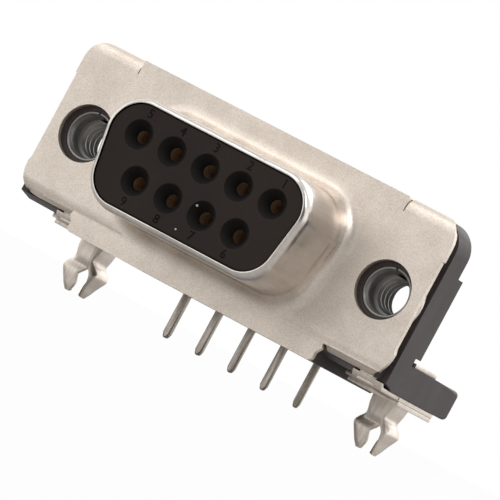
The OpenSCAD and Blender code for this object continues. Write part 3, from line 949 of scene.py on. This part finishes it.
@dataclass
class Shell:
    """The drawn and tinned front shell: flange, shroud and four folded corner lips.

    The notch beside each lower lip has (x from the lip's side, z from its level, radius).
    """

    sheet: float = 0.40
    wall_r: float = 2.59
    wall_bands: Point = (-2.2, -3.6)
    draw_r: float = 1.15
    front: float = -6.17
    half_w: float = 15.40
    waist_x: float = 15.30
    waist_ends: Point = (-3.35, 3.40)
    waist_span: Point = (-2.95, 3.33)
    top: float = 6.20
    middle_x: float = 10.30
    middle_bottom: float = 6.33
    middle_top: float = 5.65
    lip_bottom: float = 5.25
    top_lip_x: float = 11.15
    bottom_lip_x: float = 10.70
    notch: tuple[Triple, ...] = ((-0.10, 0.02, 0.0), (-0.20, 0.30, 0.10), (0.0, 0.42, 0.10))
    lip_r: float = 0.95
    lip_reach: float = 1.05
    corner_r: float = 2.45
    slit: float = 0.07
    slit_depth: float = 0.10
    hole_r: float = 2.025
    bend_steps: int = 10
    nose_run: float = 0.90
    nose_drop: float = 0.33
    rim: float = 0.03

    def blank_corners(self) -> list[Triple]:
        """Corners of the flat blank's right half, from the bottom middle round to the top.

        Returns:
            (x, z, radius) of each corner.
        """
        lip = self.lip_r * math.pi / 2 + self.lip_reach - self.lip_r
        low = -self.lip_bottom + self.lip_r - lip
        high = self.top - self.lip_r + lip
        slit_x, slit_z = self.top_lip_x - self.slit, self.top - self.lip_r - self.slit_depth
        return [
            (self.middle_x, -self.middle_bottom, 0.30),
            (self.middle_x, -self.middle_top, 0.10),
            *((self.bottom_lip_x + x, -self.lip_bottom + z, r) for x, z, r in self.notch),
            (self.bottom_lip_x, low, 0.12),
            (self.half_w, low, self.corner_r),
            (self.half_w, self.waist_ends[0], 0.0),
            (self.waist_x, self.waist_span[0], 0.0),
            (self.waist_x, self.waist_span[1], 0.0),
            (self.half_w, self.waist_ends[1], 0.0),
            (self.half_w, high, self.corner_r),
            (self.top_lip_x, high, 0.12),
            (self.top_lip_x, slit_z, 0.03),
            (slit_x, slit_z, 0.03),
            (slit_x, self.top, 0.10),
        ]

    def shroud_profile(self) -> list[Point]:
        """Outer skin of the shroud: the drawn bend at its root, then the wall.

        Returns:
            Points of (distance from a corner centre, y).
        """
        bend = arc((self.wall_r + self.draw_r, -self.draw_r), self.draw_r, 90.0, 180.0, 14)
        start = self.front + self.nose_run
        nose = [self.nose_run * math.sin(math.radians(turn)) for turn in range(15, 91, 15)]
        levels = [*self.wall_bands, start, *(start - depth for depth in nose)]
        return bend + [(self.wall_r, y) for y in levels]

    def blank(self, bm: BMesh) -> None:
        """Fills the flat blank round the shroud's and the screws' openings.

        Args:
            bm: the mesh that takes the blank and the shroud's skin.
        """
        half = self.blank_corners()
        rounded_outline(bm, half + [(-x, z, r) for x, z, r in reversed(half)], 10)
        bmesh.ops.delete(bm, geom=list(bm.faces), context="FACES_ONLY")
        D_SHAPE.ring(bm, self.shroud_profile())
        upright = Matrix.Rotation(math.pi / 2, 4, "X")
        for side in Side:
            bmesh.ops.create_circle(
                bm, cap_ends=False, segments=72, radius=self.hole_r,
                matrix=Matrix.Translation((side.screw_x, 0, 0)) @ upright,
            )
        flats = set(filled(bm, open_rims(bm, 0.0)))
        paired = [e for e in bm.edges if len(e.link_faces) == 2]
        bmesh.ops.dissolve_limit(
            bm, angle_limit=math.radians(0.5), verts=[], delimit=set(),
            edges=[e for e in paired if all(f in flats for f in e.link_faces)],
            use_dissolve_boundaries=False,
        )

    def roll_lips(self, bm: BMesh) -> None:
        """Cuts the blank into narrow bands at its ends and rolls them back into lips.

        Args:
            bm: the mesh of the blank.
        """
        run = self.lip_r * math.pi / 2
        for level, inner_x in ((self.top, self.top_lip_x), (-self.lip_bottom, self.bottom_lip_x)):
            sign = math.copysign(1.0, level)
            start = abs(level) - self.lip_r
            for i in range(self.bend_steps + 1):
                flats = [f for f in bm.faces if all(abs(v.co.y) < NEAR for v in f.verts)]
                bmesh.ops.bisect_plane(
                    bm, geom=with_borders(flats), dist=1e-6, plane_no=(0, 0, sign),
                    plane_co=(0, 0, sign * (start + run * i / self.bend_steps)),
                )
            for vertex in bm.verts:
                past = sign * vertex.co.z - start
                if past <= 1e-6 or abs(vertex.co.x) < inner_x - 0.01 or abs(vertex.co.y) > NEAR:
                    continue
                angle = min(past / self.lip_r, math.pi / 2)
                vertex.co.z = sign * (start + self.lip_r * math.sin(angle))
                vertex.co.y = self.lip_r * (1 - math.cos(angle)) + max(past - run, 0.0)

    def ease_nose(self, bm: BMesh) -> None:
        """Draws the shroud's outer skin in towards its front edge.

        Args:
            bm: the mesh of the shell, with its thickness.
        """
        start = self.front + self.nose_run
        for vertex in bm.verts:
            past = (start - vertex.co.y) / self.nose_run
            if past <= 1e-4:
                continue
            centre = D_SHAPE.centre(math.degrees(math.atan2(vertex.co.z, vertex.co.x)))
            arm = Vector((vertex.co.x - centre.x, 0.0, vertex.co.z - centre.z))
            if arm.length > self.wall_r - self.sheet / 2:
                drop = self.nose_drop * (1.0 - math.sqrt(max(1.0 - past * past, 0.0)))
                vertex.co -= arm.normalized() * drop

    def build(self) -> Object:
        """Draws the blank into the finished shell.

        Returns:
            The shell.
        """
        bm = bmesh.new()
        self.blank(bm)
        self.roll_lips(bm)
        closed(bm)
        if max(bm.faces, key=lambda f: f.calc_area()).normal.y > 0:
            bmesh.ops.reverse_faces(bm, faces=bm.faces)
        bmesh.ops.solidify(bm, geom=list(bm.faces), thickness=self.sheet)
        self.ease_nose(bm)
        bevelled(bm, creased(bm.edges, 55.0), self.rim, 2)
        return finished(bm, "drawn_shell", TIN, ["shell"])


@dataclass(frozen=True)
class ContactField:
    """Places of the nine contacts, seen from the front."""

    pitch: float = 2.77
    row_gap: float = 2.84
    upper: int = 5
    count: int = 9
    upper_middle: float = 3.0
    lower_middle: float = 7.5

    def place(self, number: int) -> Point:
        """X and Z of a contact.

        Args:
            number: 1 is at the right of the upper row, 6 at the right below.

        Returns:
            The contact's X and Z.
        """
        if number <= self.upper:
            return self.pitch * (self.upper_middle - number), self.row_gap / 2
        return self.pitch * (self.lower_middle - number), -self.row_gap / 2

    def numbers(self) -> range:
        """The contacts' numbers."""
        return range(1, self.count + 1)


FIELD = ContactField()


@dataclass
class FrontInsulator:
    """The moulded nose inside the shroud, with its nine entries."""

    nose_r: float = 2.14
    nose_band: float = -3.0
    edge_r: float = 0.12
    plate: Triple = (9.0, 4.8, 1.0)
    plate_front: float = 0.40
    plate_rear: float = 2.00
    mouth_r: float = 1.03
    mouth_edge: float = 0.04
    mouth_depth: float = 0.70
    entry_r: float = 0.46
    cavity_front: float = -5.30
    cavity_r: float = 0.85

    def entry_profile(self) -> list[Point]:
        """Skin of an entry: eased mouth, cone, throat and the cavity behind.

        Returns:
            Points of (radius, y).
        """
        edge, floor = self.mouth_edge, FACE_Y + self.mouth_depth
        return [
            (self.mouth_r + edge, FACE_Y), (self.mouth_r + edge * 0.3, FACE_Y + edge * 0.3),
            (self.mouth_r - edge * 0.4, FACE_Y + edge), (self.entry_r + edge, floor - edge),
            (self.entry_r, floor + edge), (self.entry_r, self.cavity_front),
            (self.cavity_r, self.cavity_front), (self.cavity_r, self.plate_rear),
        ]

    def add_plate(self, bm: BMesh) -> None:
        """Adds the plate behind the shell, open where the nose and the cavities pass.

        Args:
            bm: the mesh with the nose and the entries.
        """
        half_w, half_h, radius = self.plate
        signs = ((1, -1), (1, 1), (-1, 1), (-1, -1))
        loop = bmesh.new()
        outline = rounded_outline(loop, [(half_w * x, half_h * z, radius) for x, z in signs])
        places = [v.co.copy() for v in outline]
        loop.free()
        rims = []
        for y in (self.plate_front, self.plate_rear):
            ring = [bm.verts.new((co.x, y, co.z)) for co in places]
            rims += [bm.edges.new(pair) for pair in zip(ring, ring[1:] + ring[:1])]
        bmesh.ops.bridge_loops(bm, edges=rims)
        for y in (self.plate_front, self.plate_rear):
            filled(bm, open_rims(bm, y), (0, 1, 0))

    def build(self) -> Object:
        """Moulds the nose, its entries and the plate behind the shell.

        Returns:
            The insulator.
        """
        bm = bmesh.new()
        centre = (self.nose_r - self.edge_r, FACE_Y + self.edge_r)
        wall = [(self.nose_r, self.nose_band), (self.nose_r, self.plate_front)]
        D_SHAPE.ring(bm, arc(centre, self.edge_r, -90.0, 0.0, 5) + wall)
        for number in FIELD.numbers():
            x, z = FIELD.place(number)
            made = turned(bm, self.entry_profile(), 40)
            bmesh.ops.translate(bm, vec=(x, 0, z), verts=made)
        filled(bm, open_rims(bm, FACE_Y))
        self.add_plate(bm)
        closed(bm)
        stands_for = ["front_insulator"]
        return finished(bm, "socket_insulator", SHADED_FACE_PLASTIC, stands_for, level=True)


@dataclass
class Numerals:
    """Raised contact numbers on the mating face, with the X and Z of each."""

    rise: float = 0.035
    height: float = 0.66
    size_over_height: float = 1.35
    places: tuple[Point, ...] = (
        (5.68, 2.94), (2.84, 2.96), (0.05, 2.96), (-2.70, 2.93), (-5.44, 2.97),
        (4.13, -2.93), (1.40, -2.88), (-1.42, -2.96), (-4.19, -2.96),
    )

    def add_number(self, bm: BMesh, number: int, x: float, z: float) -> None:
        """Raises one number from the face.

        Args:
            bm: the mesh that takes it.
            number: the number.
            x: its middle's X.
            z: its middle's Z.
        """
        curve = bpy.data.curves.new(f"number_{number}", "FONT")
        curve.body = str(number)
        curve.size = self.height * self.size_over_height
        curve.align_x = curve.align_y = "CENTER"
        curve.extrude = self.rise / 2
        curve.resolution_u = 3
        text = linked(f"number_{number}", curve)
        mesh = bpy.data.meshes.new_from_object(text)
        bpy.data.objects.remove(text)
        upright = Matrix.Rotation(math.pi / 2, 4, "X")
        mesh.transform(Matrix.Translation((x, FACE_Y, z)) @ upright)
        bm.from_mesh(mesh)
        bpy.data.meshes.remove(mesh)

    def build(self) -> Object:
        """Raises the numbers from the mating face.

        Returns:
            One mesh of all the numbers.
        """
        bm = bmesh.new()
        for number, place in enumerate(self.places, 1):
            self.add_number(bm, number, *place)
        closed(bm)
        return finished(bm, "contact_numbers", NUMERAL_PLASTIC)


@dataclass
class Lint:
    """Specks of pale lint on the mating face, with X, Z, width and height of each."""

    thickness: float = 0.12
    sunk: float = 0.05
    unevenness: float = 0.22
    specks: tuple[tuple[float, ...], ...] = ((0.755, -0.92, 0.17, 0.15), (0.19, -2.94, 0.15, 0.13))

    def build(self) -> Object:
        """Drops the specks on the face.

        Returns:
            One mesh of all the specks.
        """
        bm = bmesh.new()
        for x, z, w, h in self.specks:
            made = bmesh.ops.create_icosphere(bm, subdivisions=3, radius=0.5)["verts"]
            for v in made:
                lump = math.sin(9 * v.co.x + 3 * z) * math.cos(8 * v.co.z + x)
                lump = 1.0 + self.unevenness * lump
                out = max(v.co.y * self.thickness, -self.sunk)
                v.co = Vector((v.co.x * w * lump, out, v.co.z * h * lump))
            bmesh.ops.translate(bm, vec=(x, FACE_Y, z), verts=made)
        return finished(bm, "lint_specks", LINT)


@dataclass
class ThreadedInsert:
    """A rolled steel sleeve with a 4-40 thread in its bore.

    The tooth's flanks have the Y where each begins and ends, from the start of a turn.
    """

    side: Side
    front: float = 0.70
    rear: float = 4.40
    outer_r: float = 1.75
    collar_r: float = 2.10
    collar_front: float = 4.10
    collar_edge: float = 0.05
    bore_r: float = 1.55
    rim_r: float = 0.10
    major_r: float = 1.42
    minor_r: float = 1.13
    pitch: float = 0.635
    front_flank: Point = (0.04, 0.28)
    rear_flank: Point = (0.35, 0.595)
    thread_front: float = 1.90
    slit: float = 0.14
    slit_end: float = 1.50
    shoulder: float = 0.10
    steps: int = 64

    def rim_section(self) -> list[Point]:
        """Closed section of the sleeve in front of the slit's end.

        Returns:
            Points of (radius, y); the first is repeated at the end.
        """
        r = self.rim_r
        outer = arc((self.outer_r - r, self.front + r), r, 0.0, -90.0, 4)
        inner = arc((self.bore_r + r, self.front + r), r, -90.0, -180.0, 4)
        start = (self.outer_r, self.slit_end)
        return [start, *outer, *inner, (self.bore_r, self.slit_end), start]

    def body_profile(self) -> list[Point]:
        """Skin of the whole sleeve behind the slit, from the bore round to the rear.

        Returns:
            Points of (radius, y).
        """
        return [
            (self.major_r, self.thread_front), (self.bore_r, self.slit_end + self.shoulder),
            (self.bore_r, self.slit_end), (self.outer_r, self.slit_end),
            (self.outer_r, self.collar_front), (self.collar_r, self.collar_front),
            (self.collar_r, self.rear - self.collar_edge),
            (self.collar_r - self.collar_edge, self.rear), (self.major_r, self.rear),
        ]

    def add_rim(self, bm: BMesh) -> None:
        """Turns the slit front of the sleeve, with the slit at the top.

        Args:
            bm: the mesh that takes it.
        """
        gap = 2 * math.asin(self.slit / 2 / self.outer_r)
        made = turned(bm, self.rim_section(), self.steps - 2, math.tau - gap)
        bmesh.ops.edgenet_fill(bm, edges=[e for e in bm.edges if len(e.link_faces) == 1])
        upwards = Matrix.Rotation(-math.pi / 2 - gap / 2, 3, "Y")
        bmesh.ops.rotate(bm, cent=(0, 0, 0), matrix=upwards, verts=made)

    def add_thread(self, bm: BMesh) -> None:
        """Winds one tooth of the thread through the bore and ends it with the sleeve.

        Args:
            bm: the mesh with the sleeve.
        """
        before = set(bm.verts)
        turns = math.ceil((self.rear - self.thread_front) / self.pitch) + 2
        start = self.thread_front - self.pitch
        tooth = [
            (self.major_r, 0.0), (self.major_r, self.front_flank[0]),
            (self.minor_r, self.front_flank[1]), (self.minor_r, self.rear_flank[0]),
            (self.major_r, self.rear_flank[1]), (self.major_r, self.pitch),
        ]
        line = [(r, start + y) for r, y in tooth]
        climb = self.pitch / self.steps
        turned(bm, line, self.steps * turns, math.tau * turns, climb, near=1e-4)
        for level, front in ((self.thread_front, True), (self.rear, False)):
            thread = [f for f in bm.faces if all(v not in before for v in f.verts)]
            bmesh.ops.bisect_plane(
                bm, geom=with_borders(thread), dist=1e-6, plane_co=(0, level, 0),
                plane_no=(0, 1, 0), clear_inner=front, clear_outer=not front,
            )
            filled(bm, open_rims(bm, level))

    def build(self) -> Object:
        """Turns the sleeve, cuts its slit and rolls its thread.

        Returns:
            The insert.
        """
        bm = bmesh.new()
        self.add_rim(bm)
        turned(bm, self.body_profile(), self.steps)
        self.add_thread(bm)
        bmesh.ops.translate(bm, vec=(self.side.screw_x, 0, 0), verts=bm.verts)
        closed(bm)
        word = self.side.word
        return finished(bm, f"threaded_insert_{word}", STEEL, [f"insert_{word}"])


@dataclass
class SoftenedSolid:
    """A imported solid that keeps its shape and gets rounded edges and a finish."""

    node: str
    name: str
    finish: Finish
    slot: Slot
    soften: float
    segments: int = 2
    sharper_than: float = 25.0

    def copied(self) -> BMesh:
        """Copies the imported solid's mesh in millimetres and merges its loose triangles.

        Returns:
            The copy.
        """
        bm = bmesh.new()
        bm.from_mesh(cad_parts[self.node].data)
        bmesh.ops.scale(bm, vec=(1 / MM,) * 3, verts=bm.verts)
        bmesh.ops.remove_doubles(bm, verts=bm.verts, dist=1e-4)
        bmesh.ops.dissolve_limit(
            bm, angle_limit=math.radians(0.6), verts=bm.verts, edges=bm.edges, delimit=set()
        )
        return bm

    def shape_first(self, bm: BMesh) -> None:
        """Shapes the copy before its edges are softened; a plain solid needs nothing."""

    def add_to(self, bm: BMesh) -> None:
        """Adds meshes to the softened copy; a plain solid has none."""

    def build(self) -> Object:
        """Softens the solid and dresses it.

        Returns:
            The piece.
        """
        bm = self.copied()
        self.shape_first(bm)
        bevelled(bm, creased(bm.edges, self.sharper_than), self.soften, self.segments)
        self.add_to(bm)
        return finished(bm, self.name, self.finish, [self.node])


@dataclass
class Housing(SoftenedSolid):
    """The moulded housing, with its feet rounded at their rear."""

    foot_levels: Point = (-3.50, -5.60)
    rear_from: float = 11.60
    rear_r: float = 0.32

    def shape_first(self, bm: BMesh) -> None:
        """Rounds the upper and lower edges round each foot's rear.

        Args:
            bm: the merged copy of the housing.
        """
        rear = [
            edge for edge in creased(bm.edges, SQUARE_FROM)
            if all(v.co.y > self.rear_from for v in edge.verts)
            and any(all(abs(v.co.z - z) < 0.01 for v in edge.verts) for z in self.foot_levels)
        ]
        bevelled(bm, rear, self.rear_r, 5, clamp=False)


@dataclass
class SocketContact(SoftenedSolid):
    """A contact whose tail is drawn from rounded wire."""

    tail_from: float = 5.0
    tail_r: float = 0.11

    def shape_first(self, bm: BMesh) -> None:
        """Rounds the tail's long edges.

        Args:
            bm: the merged copy of the contact.
        """
        tail = [e for e in bm.edges if all(v.co.y > self.tail_from for v in e.verts)]
        bevelled(bm, creased(tail, SQUARE_FROM), self.tail_r, 4)


@dataclass
class EarthStrap(SoftenedSolid):
    """A strap from the insert down past the lip, bent wide under the foot."""

    side: Side = Side.RIGHT
    sheet: float = 0.30
    wide: Point = (0.30, 2.70)
    bend_centre: Point = (1.60, -5.30)
    bend_r: float = 0.46
    bend_from: float = 188.0
    rear: float = 4.40
    edge: float = 0.04

    def bend_section(self) -> list[Point]:
        """Section of the bend and of the plate behind it.

        Returns:
            Points of (y, z).
        """
        half = self.sheet / 2
        outer = arc(self.bend_centre, self.bend_r + half, self.bend_from, 270.0, 10)
        inner = arc(self.bend_centre, self.bend_r - half, 270.0, self.bend_from, 10)
        middle = self.bend_centre[1] - self.bend_r
        return outer + [(self.rear, middle - half), (self.rear, middle + half)] + inner

    def add_to(self, bm: BMesh) -> None:
        """Adds the wide bend between the leg and the plate.

        Args:
            bm: the softened copy of the strap.
        """
        start = self.side.screw_x + self.wide[0]
        face = bm.faces.new([bm.verts.new((start, y, z)) for y, z in self.bend_section()])
        pulled = bmesh.ops.extrude_face_region(bm, geom=[face])["geom"]
        moved = [v for v in pulled if isinstance(v, BMVert)]
        bmesh.ops.translate(bm, vec=(self.wide[1] - self.wide[0], 0, 0), verts=moved)
        bend = set(face.verts) | set(moved)
        faces = [f for f in bm.faces if all(v in bend for v in f.verts)]
        bmesh.ops.recalc_face_normals(bm, faces=faces)
        rims = creased((e for e in bm.edges if all(v in bend for v in e.verts)), SQUARE_FROM)
        bevelled(bm, rims, self.edge, 2)


class LegLevel(NamedTuple):
    """One height of a sprung leg, seen from above and measured from the screw's axis."""

    z: float
    gap_x: float
    wall_x: float
    front_y: float
    rear_y: float


@dataclass
class BoardLock(SoftenedSolid):
    """A board lock: a clenched tab over the foot and two sprung legs folded below it.

    The tab's outer side moves out from tab_from to tab_to; it is past tab_side and above tab_z.
    """

    side: Side = Side.RIGHT
    base_z: float = -6.205
    tab_z: float = -3.55
    tab_side: float = 1.0
    tab_from: float = 1.70
    tab_to: float = 2.68
    sheet: float = 0.26
    edge: float = 0.05
    corner_r: float = 0.55
    parts: int = 3
    front_leg: tuple[LegLevel, ...] = (
        LegLevel(-6.00, 0.40, -1.27, 8.35, 10.30), LegLevel(-6.70, 0.40, -1.22, 8.35, 10.30),
        LegLevel(-7.30, 0.40, -1.07, 8.35, 10.30), LegLevel(-7.58, 0.40, -1.12, 8.40, 10.30),
        LegLevel(-7.82, 0.38, -1.34, 8.46, 10.30), LegLevel(-8.04, 0.22, -1.50, 8.42, 10.30),
        LegLevel(-8.25, 0.06, -1.57, 8.36, 10.25), LegLevel(-8.52, -0.05, -1.50, 8.32, 10.20),
        LegLevel(-9.10, 0.12, -1.14, 8.33, 10.00), LegLevel(-9.50, 0.06, -0.88, 8.34, 9.80),
        LegLevel(-9.84, -0.08, -0.58, 8.38, 9.50),
    )
    rear_leg: tuple[LegLevel, ...] = (
        LegLevel(-6.00, 0.40, 0.80, 8.35, 10.65), LegLevel(-6.70, 0.40, 0.68, 8.35, 10.65),
        LegLevel(-7.30, 0.40, 0.54, 8.35, 10.65), LegLevel(-7.58, 0.40, 0.76, 8.38, 10.62),
        LegLevel(-7.82, 0.42, 1.00, 8.42, 10.60), LegLevel(-8.08, 0.62, 1.13, 8.45, 10.58),
        LegLevel(-8.36, 0.74, 1.08, 8.50, 10.52), LegLevel(-8.91, 0.76, 0.90, 8.60, 10.20),
        LegLevel(-9.45, 0.70, 0.80, 8.74, 9.86), LegLevel(-9.86, 0.64, 0.70, 8.94, 9.52),
    )

    def shape_first(self, bm: BMesh) -> None:
        """Widens the tab and cuts the plain legs away below the base.

        Args:
            bm: the merged copy of the board lock.
        """
        for vertex in bm.verts:
            if vertex.co.z > self.tab_z and vertex.co.x - self.side.screw_x > self.tab_side:
                vertex.co.x += self.tab_to - self.tab_from
        cut = bmesh.ops.bisect_plane(
            bm, geom=[*bm.verts, *bm.edges, *bm.faces], dist=1e-5,
            plane_co=(0, 0, self.base_z), plane_no=(0, 0, 1), clear_inner=True,
        )["geom_cut"]
        edges = [e for e in cut if isinstance(e, BMEdge) and e.is_valid]
        rims = [e for e in edges if len(e.link_faces) < 2]
        filled(bm, rims, (0, 0, -1), dissolve=True)
        bmesh.ops.recalc_face_normals(bm, faces=bm.faces)

    def plan(self, level: LegLevel) -> list[Point]:
        """A leg's middle line at one height, from the gap round to the rear.

        Args:
            level: the leg's sizes at that height.

        Returns:
            Points of (x, y).
        """
        reach = level.wall_x - level.gap_x
        sign = math.copysign(1.0, reach)
        radius = min(self.corner_r, abs(reach) * 0.98)
        x, y = level.wall_x - sign * radius, level.front_y + radius
        front = [(level.gap_x + (x - level.gap_x) * i / 4, level.front_y) for i in range(4)]
        bend = arc((x, y), radius, 270.0, 270.0 + sign * 90.0, 8)
        back = [(level.wall_x, y + (level.rear_y - y) * i / 4) for i in range(1, 5)]
        return front + bend + back

    def lofted(self, levels: Sequence[LegLevel]) -> BMesh:
        """Lofts a leg's skin and gives it the thickness of the sheet, inwards.

        Args:
            levels: the leg's heights, from its base to its tip.

        Returns:
            The leg, on the screw's axis.
        """
        leg = bmesh.new()
        plans = [(self.plan(level), level.z) for level in eased_levels(levels, self.parts)]
        columns = len(plans[0][0])
        bmesh.ops.create_grid(leg, x_segments=columns - 1, y_segments=len(plans) - 1, size=1.0)
        order = iter(sorted(leg.verts, key=lambda v: (round(v.co.y, 4), round(v.co.x, 4))))
        for points, z in plans:
            for x, y in points:
                next(order).co = Vector((x, y, z))
        bmesh.ops.recalc_face_normals(leg, faces=leg.faces)
        if min(leg.faces, key=lambda f: f.calc_center_median().y).normal.y > 0:
            bmesh.ops.reverse_faces(leg, faces=leg.faces)
        bmesh.ops.solidify(leg, geom=list(leg.faces), thickness=self.sheet)
        bevelled(leg, creased(leg.edges, SQUARE_FROM), self.edge, 2)
        return leg

    def add_to(self, bm: BMesh) -> None:
        """Joins both legs to the base.

        Args:
            bm: the softened copy of the base and the tab.
        """
        for levels in (self.front_leg, self.rear_leg):
            mesh = meshed(self.lofted(levels), "leg")
            mesh.transform(Matrix.Translation((self.side.screw_x, 0, 0)))
            bm.from_mesh(mesh)
            bpy.data.meshes.remove(mesh)


def eased_levels(levels: Sequence[LegLevel], parts: int) -> list[LegLevel]:
    """Fills in smooth heights between those of a leg, on a curve through all of them.

    Args:
        levels: the leg's heights, from its base to its tip.
        parts: how many parts each gap is divided into.

    Returns:
        The heights with the new ones between them.
    """
    smooth, last = [], len(levels) - 1
    for i in range(last):
        near = [levels[max(0, min(last, i + k))] for k in (-1, 0, 1, 2)]
        for part in range(parts):
            t = part / parts
            smooth.append(LegLevel(*(
                0.5 * (2 * b + (c - a) * t + (2 * a - 5 * b + 4 * c - d) * t * t
                       + (3 * b - a - 3 * c + d) * t ** 3)
                for a, b, c, d in zip(*near)
            )))
    return smooth + [levels[-1]]


# ---- Studio -------------------------------------------------------------------------------


@dataclass(frozen=True)
class Lamp:
    """A square soft lamp; its place and width are millimetres and its power watts."""

    name: str
    place: Triple
    width: float
    power: float
    colour: Colour = WHITE

    def hang(self, aim: Triple) -> None:
        """Hangs the lamp facing a point.

        Args:
            aim: the point, in millimetres.
        """
        data = bpy.data.lights.new(self.name, "AREA")
        data.size = self.width * MM
        data.energy = self.power
        data.color = self.colour
        place = Vector(self.place) * MM
        back = place - Vector(aim) * MM
        turn = back.to_track_quat("Z", "Y").to_matrix().to_4x4()
        linked(self.name, data).matrix_world = Matrix.Translation(place) @ turn


@dataclass
class Studio:
    """Pale floor, soft lamps, white surroundings and the camera."""

    aim: Triple = (2.573, 0.0, -1.763)
    distance: float = 389.67
    azimuth: float = 27.204
    elevation: float = -0.92
    roll: float = 28.29
    lens: float = 426.4
    floor_span: float = 4000.0
    floor_gap: float = 0.05
    floor_tones: tuple[Colour, Colour] = ((0.52, 0.51, 0.50), (0.55, 0.54, 0.53))
    floor_white: float = 0.97
    floor_gloss: float = 0.12
    dark_side: Triple = (0.62, -0.78, 0.0)
    side_span: Point = (0.48, 0.95)
    side_levels: Point = (1.22, 0.10)
    sky_span: Point = (0.20, 0.85)
    sky_levels: Point = (1.0, 0.62)
    soft_level: float = 0.58
    lamps: tuple[Lamp, ...] = (
        Lamp("key", (-130.0, -130.0, 330.0), 200.0, 0.17, (1.0, 0.99, 0.97)),
        Lamp("fill", (230.0, -110.0, 260.0), 120.0, 0.26),
        Lamp("back", (60.0, 260.0, 260.0), 260.0, 0.25),
    )

    def camera(self) -> None:
        """Places the camera at the viewing angle of the reference."""
        a, e, r = (math.radians(v) for v in (self.azimuth, self.elevation, self.roll))
        back = Vector((math.sin(a) * math.cos(e), -math.cos(a) * math.cos(e), math.sin(e)))
        level = Vector((math.cos(a), math.sin(a), 0.0))
        over = back.cross(level)
        right = level * math.cos(r) + over * math.sin(r)
        up = -level * math.sin(r) + over * math.cos(r)
        data = bpy.data.cameras.new("camera")
        data.lens = self.lens
        data.sensor_width = 36.0
        data.clip_start = 0.01
        data.clip_end = 20.0
        camera = linked("camera", data)
        where = Matrix.Translation((Vector(self.aim) + back * self.distance) * MM)
        camera.matrix_world = where @ Matrix((right, up, back)).transposed().to_4x4()
        bpy.context.scene.camera = camera

    @staticmethod
    def rays(bench: NodeBench) -> tuple[NodeSocket, NodeSocket]:
        """Adds a Light Path node.

        Args:
            bench: the bench of the floor's or the world's tree.

        Returns:
            Masks of the rays that see the surface directly or through glass, and of reflections.
        """
        path = bench.add("ShaderNodeLightPath").outputs
        seen = bench.math("MAXIMUM", path["Is Camera Ray"], path["Is Transmission Ray"])
        return seen, path["Is Glossy Ray"]

    def floor(self) -> None:
        """Lays the floor just below the lowest point."""
        bm = bmesh.new()
        bmesh.ops.create_grid(bm, x_segments=4, y_segments=4, size=self.floor_span / 2 * MM)
        low = cad_box[0][2] - self.floor_gap * MM
        bmesh.ops.translate(bm, vec=(0, 0, low), verts=bm.verts)
        material = bpy.data.materials.new("floor_white")
        bench = NodeBench.cleared(material)
        seen, glossy = self.rays(bench)
        white = bench.product(seen, self.floor_white)
        amount = bench.math("MAXIMUM", white, bench.product(glossy, self.floor_gloss))
        place = bench.add("ShaderNodeTexCoord").outputs["Object"]
        tone = bench.blend(bench.noise(place, 40.0), *self.floor_tones)
        shade = bench.add("ShaderNodeBsdfDiffuse", Color=tone).outputs[0]
        glow = bench.add("ShaderNodeEmission", Color=WHITE, Strength=1.0).outputs[0]
        mix = bench.add("ShaderNodeMixShader", in_0=amount, in_1=shade, in_2=glow)
        bench.add("ShaderNodeOutputMaterial", Surface=mix.outputs[0])
        mesh = meshed(bm, "floor")
        mesh.materials.append(material)
        linked("floor", mesh)

    def surroundings(self) -> None:
        """Shows white behind the object and lights it softly from all round."""
        world = bpy.data.worlds.new("studio")
        bench = NodeBench.cleared(world)
        seen, glossy = self.rays(bench)
        place = bench.add("ShaderNodeTexCoord").outputs["Generated"]
        settings = {"operation": "DOT_PRODUCT"}
        towards = bench.add("ShaderNodeVectorMath", settings, in_0=place, in_1=self.dark_side)
        side = bench.ramp(towards.outputs["Value"], *self.side_span, *self.side_levels)
        sky = bench.ramp(bench.axis(place, "Z"), *self.sky_span, *self.sky_levels)
        mirrored = bench.product(glossy, bench.product(side, sky))
        soft = bench.product(bench.rest(glossy), self.soft_level)
        level = bench.math("MAXIMUM", seen, bench.math("MAXIMUM", mirrored, soft))
        back = bench.add("ShaderNodeBackground", Color=WHITE, Strength=level)
        bench.add("ShaderNodeOutputWorld", Surface=back.outputs[0])
        bpy.context.scene.world = world

    def build(self) -> None:
        """Sets up the camera, floor, surroundings and lamps."""
        bpy.context.scene.view_settings.view_transform = "Standard"
        self.camera()
        self.floor()
        self.surroundings()
        for lamp in self.lamps:
            lamp.hang(self.aim)


# ---- The connector ------------------------------------------------------------------------


def build_connector() -> None:
    """Builds and dresses every piece of the connector in order."""
    Shell().build()
    FrontInsulator().build()
    Numerals().build()
    Lint().build()
    for side in Side:
        ThreadedInsert(side).build()
    Housing("housing", "moulded_housing", PLASTIC, Slot.PLASTIC, 0.07).build()
    SoftenedSolid("tail_organizer", "tail_comb", PLASTIC, Slot.PLASTIC, 0.05).build()
    for side in Side:
        dress = (STRIP, Slot.STRIP, 0.04)
        strap, lock = f"ground_strap_{side.word}", f"board_lock_{side.word}"
        EarthStrap(strap, f"earth_strap_{side.word}", *dress, side=side).build()
        BoardLock(lock, f"sprung_lock_{side.word}", *dress, side=side).build()
    for number in FIELD.numbers():
        names = (f"contact_{number}", f"socket_contact_{number}")
        SocketContact(*names, ALLOY, Slot.CONTACT, 0.03).build()


def main() -> None:
    """Builds the studio and the connector."""
    logging.basicConfig(level=logging.INFO, format="%(name)s: %(message)s")
    Studio().build()
    build_connector()


if __name__ == "__main__":
    main()
